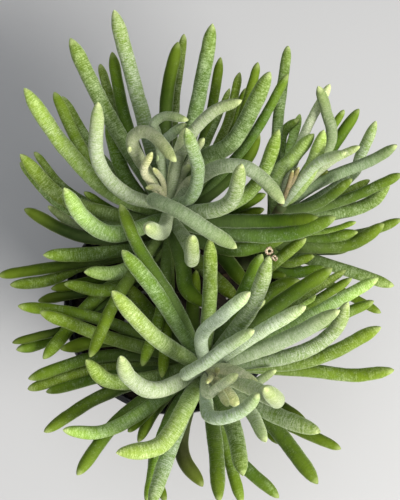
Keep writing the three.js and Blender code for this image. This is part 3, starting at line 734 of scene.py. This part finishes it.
def model_finger(slenderness, shaft_rings):
    """A straight leaf of girth 1 and this length, from the origin along x, with a small nib."""
    bpy.ops.mesh.primitive_cylinder_add(
        vertices=LEAF_SIDES, radius=1, depth=1, end_fill_type="TRIFAN",
        location=(0.5, 0, 0), rotation=(0, math.pi / 2, 0),
    )
    finger = settle(bpy.context.object, "finger")
    straight = 1 - LEAF_TIP_LENGTH / slenderness
    rings = shaft_rings + TIP_RINGS
    bpy.ops.object.mode_set(mode="EDIT")
    select_where(finger, "EDGE", lambda edge: abs(edge.verts[0].co.x - edge.verts[1].co.x) > 0.5)
    bpy.ops.mesh.subdivide(number_cuts=rings - 1)
    bpy.ops.mesh.select_mode(type="VERT")
    shape = bmesh.from_edit_mesh(finger.data)
    rows = [[] for _ in range(rings + 1)]
    for vertex in shape.verts:
        rows[round(vertex.co.x * rings)].append(vertex.index)
    for ring, row in enumerate(rows):
        if ring <= shaft_rings:
            share = straight * ring / shaft_rings
        else:
            share = straight + (1 - straight) * math.sin(math.pi / 2 * (ring - shaft_rings) / TIP_RINGS)
        radius = leaf_radius(share, (1 - share) * slenderness, 1)
        if ring == rings:
            radius = NIB_RADIUS
        bpy.ops.mesh.select_all(action="DESELECT")
        shape = bmesh.from_edit_mesh(finger.data)
        shape.verts.ensure_lookup_table()
        for index in row:
            shape.verts[index].select_set(True)
        here = ring / rings
        bpy.ops.transform.resize(value=(1, radius, radius), center_override=(here, 0, 0))
        bpy.ops.transform.translate(value=(share * slenderness - here, 0, 0))
    end = slenderness - HAIRSBREADTH
    select_where(finger, "VERT", lambda vertex: vertex.co.x > end and vertex.co.yz.length < HAIRSBREADTH)
    bpy.ops.transform.translate(value=(NIB_LENGTH, 0, 0))
    bpy.ops.object.mode_set(mode="OBJECT")
    return finger


def stem_axis(foot, top):
    start = Vector((foot[0] * MM, foot[1] * MM, STEM_FOOT_HEIGHT))
    return start, from_seen(top)


def seat_on_stem(axis, height):
    start, end = axis
    return start.lerp(end, (RIM_HEIGHT + height * MM - start.z) / (end.z - start.z))


def lay_spine(points):
    """A curve through the points, as smooth as the leaf's spine, and its length."""
    curve = bpy.data.curves.new("spine", "CURVE")
    curve.dimensions = "3D"
    curve.resolution_u = 16
    curve.use_stretch = True
    curve.use_deform_bounds = True
    spline = curve.splines.new("BEZIER")
    spline.bezier_points.add(len(points) - 1)
    before = [2 * points[0] - points[1], *points[:-1]]
    after = [*points[1:], 2 * points[-1] - points[-2]]
    for knot, point, back, ahead in zip(spline.bezier_points, points, before, after):
        slope = (ahead - back) / 6
        knot.co = point
        knot.handle_left = point - slope
        knot.handle_right = point + slope
    spine = bpy.data.objects.new("spine", curve)
    bpy.context.scene.collection.objects.link(spine)
    return spine, spline.calc_length()


def paint_leaf(leaf, coat, length, chance):
    """Stores where each point lies on the leaf, and the leaf's coat, for its finish to read."""
    cover, felt, skin = COATS[coat]
    shift = np.array([chance.uniform(0, 500) for _ in range(3)])
    warmth = chance.uniform(-0.12, 0.12)
    light = chance.uniform(0.88, 1.12)
    tint = np.array([light * (1 + warmth), light, light * (1 - warmth)])
    count = len(leaf.data.vertices)
    places = np.empty(count * 3)
    leaf.data.vertices.foreach_get("co", places)
    places = places.reshape(-1, 3) / MM
    shares = places[:, 0] * MM / length
    skins = np.tile([*(np.array(skin) * tint), 1], count)
    felts = np.tile([*(np.array(felt) * (0.6 + 0.4 * tint)), cover + chance.uniform(-0.05, 0.05)], count)
    for name, kind, field, values in (
        ("leaf_place", "FLOAT_VECTOR", "vector", (places + shift).ravel()),
        ("leaf_share", "FLOAT", "value", shares),
        ("leaf_skin", "FLOAT_COLOR", "color", skins),
        ("leaf_felt", "FLOAT_COLOR", "color", felts),
    ):
        attribute = leaf.data.attributes.new(name, kind, "POINT")
        attribute.data.foreach_set(field, values.astype(np.float32))


def grow_leaf(fingers, axis, row, wrinkle, chance):
    """One leaf: a copy of the finger nearest to its slenderness, wrinkled and bent along its spine."""
    coat, seat, girth, *seen = row
    across, up, height = seen[-1]
    tip = from_seen((across, up, height + LEAF_TIP_RISE))
    points = [seat_on_stem(axis, seat), *map(from_seen, seen[:-1]), tip]
    spine, length = lay_spine(points)
    girth *= MM
    nearest = min(fingers, key=lambda slenderness: abs(math.log(slenderness * girth / length)))
    leaf = copy_of(fingers[nearest])
    take(leaf)
    leaf.scale = (length / (nearest + NIB_LENGTH), girth, girth)
    bpy.ops.object.transform_apply(scale=True)
    paint_leaf(leaf, coat, length, chance)
    if wrinkle is not None:
        texture, lines = wrinkle
        lines.location = (chance.uniform(-1, 1), chance.uniform(-1, 1), chance.uniform(-1, 1))
        modify(
            leaf, "DISPLACE", texture=texture, texture_coords="OBJECT", texture_coords_object=lines,
            strength=WRINKLE_DEPTH, mid_level=0.5,
        )
    modify(leaf, "CURVE", object=spine, deform_axis="POS_X")
    bpy.data.objects.remove(spine)
    return leaf


def grow_stalk(axis, name):
    """The stalk that carries the leaves, from its foot in the soil to the growing point."""
    start, end = axis
    length = (end - start).length
    bpy.ops.mesh.primitive_cone_add(
        vertices=STEM_SIDES, radius1=STEM_FOOT_RADIUS, radius2=STEM_TOP_RADIUS, depth=length,
        end_fill_type="TRIFAN",
    )
    stalk = bpy.context.object
    bpy.ops.object.mode_set(mode="EDIT")
    select_where(stalk, "EDGE", lambda edge: abs(edge.verts[0].co.z - edge.verts[1].co.z) > length / 2)
    bpy.ops.mesh.subdivide(number_cuts=STEM_RINGS - 1)
    bpy.ops.object.mode_set(mode="OBJECT")
    stalk.rotation_mode = "QUATERNION"
    stalk.rotation_quaternion = (end - start).to_track_quat("Z", "Y")
    stalk.location = (start + end) / 2
    settle(stalk, name)
    modify(stalk, "DISPLACE", texture=clouds("stalk knots", KNOT_SIZE), strength=KNOT_HEIGHT, mid_level=0.5)
    smooth(stalk)
    return stalk


def model_withered_curls():
    curls = []
    for place_seen, radius, turn in WITHERED_CURLS:
        bpy.ops.mesh.primitive_torus_add(
            major_segments=22, minor_segments=8,
            major_radius=radius * MM, minor_radius=radius * CURL_THICKNESS * MM,
            location=from_seen(place_seen), rotation=turn,
        )
        curl = settle(bpy.context.object, "curl")
        modify(curl, "DISPLACE", texture=clouds("dried folds", CURL_FOLD), strength=CURL_FOLD, mid_level=0.5)
        smooth(curl)
        curls.append(curl)
    return join(curls, "withered_curls")


# The pot

def model_pot():
    """A tapered wall under a wider rim band, raised ring by ring from the foot, with a round lip."""
    band_foot = RIM_HEIGHT - RIM_BAND
    shoulder = RIM_RADIUS - RIM_STEP
    bpy.ops.mesh.primitive_circle_add(vertices=POT_SIDES, radius=FOOT_RADIUS, fill_type="NGON")
    pot = bpy.context.object
    bpy.ops.object.mode_set(mode="EDIT")
    bpy.ops.mesh.select_all(action="SELECT")
    bpy.ops.mesh.select_mode(type="EDGE")
    bpy.ops.mesh.region_to_loop()
    radius = FOOT_RADIUS
    height = 0
    for next_radius, next_height in (
        (shoulder, band_foot),
        (RIM_RADIUS, band_foot),
        (RIM_RADIUS, RIM_HEIGHT),
    ):
        bpy.ops.mesh.extrude_edges_move(TRANSFORM_OT_translate={"value": (0, 0, next_height - height)})
        ratio = next_radius / radius
        bpy.ops.transform.resize(value=(ratio, ratio, 1), center_override=(0, 0, next_height))
        radius = next_radius
        height = next_height
    bpy.ops.mesh.select_all(action="SELECT")
    bpy.ops.mesh.normals_make_consistent(inside=False)
    bpy.ops.object.mode_set(mode="OBJECT")
    modify(pot, "SOLIDIFY", thickness=WALL, offset=-1, use_even_offset=True)
    for hole in range(DRAIN_COUNT):
        turn = 2 * math.pi * hole / DRAIN_COUNT
        bpy.ops.mesh.primitive_cylinder_add(
            vertices=40, radius=DRAIN_RADIUS, depth=6 * WALL,
            location=(DRAIN_RING * math.cos(turn), DRAIN_RING * math.sin(turn), 0),
        )
        drill = bpy.context.object
        modify(pot, "BOOLEAN", object=drill, operation="DIFFERENCE", solver="EXACT")
        bpy.data.objects.remove(drill)
    modify(pot, "BEVEL", width=LIP_ROUNDING, segments=3, limit_method="ANGLE", angle_limit=math.radians(40))
    settle(pot, "pot_shell")
    take(pot)
    bpy.ops.object.shade_smooth_by_angle(angle=math.radians(35))
    return pot


def wall_radius(height):
    band_foot = RIM_HEIGHT - RIM_BAND
    slope = (RIM_RADIUS - RIM_STEP - FOOT_RADIUS) / band_foot
    return FOOT_RADIUS + slope * height - WALL


def soil_height(x, y):
    """How high the soil stands at a place: it rises a little towards the middle."""
    top = RIM_HEIGHT - SOIL_DEPTH
    out = math.hypot(x, y) / wall_radius(top)
    if out > SOIL_SHOULDER_AT:
        return top + SOIL_SHOULDER_RISE * (1 - out) / (1 - SOIL_SHOULDER_AT)
    return top + SOIL_SHOULDER_RISE + (SOIL_RISE - SOIL_SHOULDER_RISE) * (1 - out / SOIL_SHOULDER_AT)


def model_soil():
    """The mass of potting mix: its top is inset ring by ring, raised to the middle and crumbled."""
    floor = WALL + CLEARANCE
    top = RIM_HEIGHT - SOIL_DEPTH
    outer = wall_radius(top) - CLEARANCE
    bpy.ops.mesh.primitive_cone_add(
        vertices=SOIL_SIDES, radius1=wall_radius(floor) - CLEARANCE, radius2=outer, depth=top - floor,
        location=(0, 0, (top + floor) / 2),
    )
    soil = settle(bpy.context.object, "soil_bed")
    bpy.ops.object.mode_set(mode="EDIT")
    select_where(soil, "FACE", lambda face: face.calc_center_median().z > top - HAIRSBREADTH)
    for ring in range(1, SOIL_RINGS):
        bpy.ops.mesh.inset(thickness=outer / SOIL_RINGS)
        share = 1 - ring / SOIL_RINGS
        rise = soil_height(outer * share, 0) - soil_height(outer * (share + 1 / SOIL_RINGS), 0)
        bpy.ops.transform.translate(value=(0, 0, rise))
    bpy.ops.mesh.poke()
    bpy.ops.object.mode_set(mode="OBJECT")
    surface = soil.vertex_groups.new(name="surface")
    high = [vertex.index for vertex in soil.data.vertices if vertex.co.z > top + 0.1 * MM]
    surface.add(high, 1.0, "REPLACE")
    clods = clouds("soil clods", CLOD_SIZE, 3)
    crumbs = clouds("soil crumbs", CRUMB_SIZE, 2)
    for texture, strength in ((clods, CLOD_HEIGHT), (crumbs, CRUMB_HEIGHT)):
        modify(
            soil, "DISPLACE", texture=texture, strength=strength, mid_level=0.5, direction="Z",
            vertex_group="surface",
        )
    smooth(soil)
    return soil


def scatter(master, count, size, spread, name, chance):
    """Copies of one grain, each turned and stretched its own way, half sunk in the soil's top."""
    grains = []
    reach = wall_radius(RIM_HEIGHT - SOIL_DEPTH) - GRAIN_MARGIN
    for _ in range(count):
        grain = copy_of(master)
        turn = chance.uniform(0, 2 * math.pi)
        out = reach * math.sqrt(chance.random())
        x = out * math.cos(turn)
        y = out * math.sin(turn)
        scale = size * chance.uniform(1 - spread, 1 + spread)
        grain.scale = [scale * chance.uniform(0.6, 1.3) for _ in range(3)]
        grain.rotation_euler = [chance.uniform(0, math.pi) for _ in range(3)]
        grain.location = (x, y, soil_height(x, y) + scale * 0.15)
        grains.append(grain)
    piece = join(grains, name)
    face_outwards(piece)
    return piece


def model_chip():
    """A splinter of bark: a bevelled block drawn in at one end."""
    bpy.ops.mesh.primitive_cube_add(size=1)
    chip = bpy.context.object
    bpy.ops.object.mode_set(mode="EDIT")
    bpy.ops.mesh.select_all(action="SELECT")
    bpy.ops.transform.resize(value=(1.6, 0.8, 0.35))
    bpy.ops.mesh.bevel(offset=0.1, segments=1, affect="EDGES")
    select_where(chip, "VERT", lambda vertex: vertex.co.x > 0.4)
    bpy.ops.transform.resize(value=(1, 0.55, 0.5), center_override=(0.8, 0, 0.05))
    bpy.ops.object.mode_set(mode="OBJECT")
    return chip


def model_bead():
    """A popped bead of perlite: a ball pushed out of round."""
    bpy.ops.mesh.primitive_ico_sphere_add(subdivisions=2, radius=0.5)
    bead = bpy.context.object
    modify(bead, "DISPLACE", texture=clouds("perlite lumps", 0.4), strength=0.4, mid_level=0.5)
    smooth(bead)
    return bead


# Light, floor and camera. A lamp is its place, what it faces, its size, its power and its colour.

WINDOW = ((0.99, -0.90, 1.04), (0.0, 0.0, 0.10), 0.80, 43.0, (1.0, 0.98, 0.94))
CEILING = ((-0.1, 0.1, 1.3), (0.0, 0.0, 0.0), 0.9, 5.7, (0.96, 0.98, 1.0))
SKY_COLOUR = (0.90, 0.94, 1.0)
SKY_STRENGTH = 0.13
FLOOR_SIZE = 8

def add_lamp(name, place, target, size, energy, colour):
    lamp = bpy.data.lights.new(name, "AREA")
    lamp.size = size
    lamp.energy = energy
    lamp.color = colour
    stand = bpy.data.objects.new(name, lamp)
    stand.location = place
    stand.rotation_euler = (Vector(target) - Vector(place)).to_track_quat("-Z", "Y").to_euler()
    bpy.context.scene.collection.objects.link(stand)


def set_stage():
    scene = bpy.context.scene
    scene.view_settings.view_transform = "Standard"
    bpy.ops.mesh.primitive_plane_add(size=FLOOR_SIZE)
    floor = bpy.context.object
    floor.name = "floor"
    paper = Finish("pale floor")
    tone = paper.noise(paper.object_place(), 3.0, 3.0)
    shade = paper.mix(tone, (0.54, 0.54, 0.545), (0.58, 0.58, 0.585))
    floor.data.materials.append(paper.surface(Base_Color=shade, Roughness=0.9))
    world = bpy.data.worlds.new("daylight")
    world.use_nodes = True
    sky = world.node_tree.nodes["Background"]
    sky.inputs["Color"].default_value = (*SKY_COLOUR, 1)
    sky.inputs["Strength"].default_value = SKY_STRENGTH
    scene.world = world
    add_lamp("window", *WINDOW)
    add_lamp("ceiling", *CEILING)


def set_camera():
    camera = bpy.data.cameras.new("camera")
    camera.sensor_width = SENSOR
    camera.lens = SENSOR * LENS_REACH / PICTURE_HEIGHT
    camera.clip_start = 0.01
    camera.clip_end = 20
    stand = bpy.data.objects.new("camera", camera)
    stand.matrix_world = Matrix.Translation(EYE) @ Matrix.Rotation(math.pi / 2 - SIGHT_TILT, 4, "X")
    bpy.context.scene.collection.objects.link(stand)
    bpy.context.scene.camera = stand


def tie_to_frame(piece, material, slot, *nodes):
    """Gives a piece its finish and ties it to the frame."""
    piece.data.materials.clear()
    piece.data.materials.append(material)
    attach(piece, "root")
    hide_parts(*nodes)


deselect()
set_camera()
set_stage()

tie_to_frame(model_pot(), pot_finish(), "pot_plastic", "pot")
tie_to_frame(model_soil(), soil_finish(), "potting_soil", "soil")
grain_chance = random.Random(11)
chip = model_chip()
bark_chips = scatter(chip, CHIP_COUNT, CHIP_SIZE, 0.5, "bark_chips", grain_chance)
tie_to_frame(bark_chips, bark_finish(), "potting_soil", "soil")
bead = model_bead()
perlite = scatter(bead, BEAD_COUNT, BEAD_SIZE, 0.4, "perlite", grain_chance)
tie_to_frame(perlite, perlite_finish(), "potting_soil", "soil")
bpy.data.objects.remove(chip)
bpy.data.objects.remove(bead)

felted_fingers = {slenderness: model_finger(slenderness, FELTED_RINGS) for slenderness in SLENDERNESSES}
smooth_fingers = {slenderness: model_finger(slenderness, SMOOTH_RINGS) for slenderness in SLENDERNESSES}
for finger in [*felted_fingers.values(), *smooth_fingers.values()]:
    smooth(finger)
felt_lines = bpy.data.objects.new("felt lines", None)
felt_lines.scale = (0.9 * MM, 4 * MM, 4 * MM)
bpy.context.scene.collection.objects.link(felt_lines)
wrinkle = (clouds("wrinkles", 1.0, 1), felt_lines)
swelling = clouds("swelling", SWELLING_SIZE, 1)
felted_finish = leaf_finish("felted leaf", 0.6, (0.88, 1.0, 0.70), 0.6, 0.08, 0.9)
smooth_finish = leaf_finish("green leaf", 0.35, (0.85, 1.0, 0.35), 0.5, 0.15, 0.5)
stalk_bark = stalk_finish()
leaf_chance = random.Random(5)
for stem, (foot, top, groups) in STEMS.items():
    axis = stem_axis(foot, top)
    tie_to_frame(grow_stalk(axis, stem + "_stalk"), stalk_bark, "leaf_felt", stem)
    for group, rows in groups.items():
        felted = group in FELTED_GROUPS
        fingers = felted_fingers if felted else smooth_fingers
        leaves = [grow_leaf(fingers, axis, row, wrinkle if felted else None, leaf_chance) for row in rows]
        piece = join(leaves, stem + "_" + group)
        modify(piece, "DISPLACE", texture=swelling, strength=SWELLING_DEPTH, mid_level=0.5)
        tie_to_frame(piece, felted_finish if felted else smooth_finish, "leaf_felt", stem)
tie_to_frame(model_withered_curls(), withered_finish(), "leaf_felt", "stem_front")
for finger in [*felted_fingers.values(), *smooth_fingers.values()]:
    bpy.data.objects.remove(finger)
bpy.data.objects.remove(felt_lines)
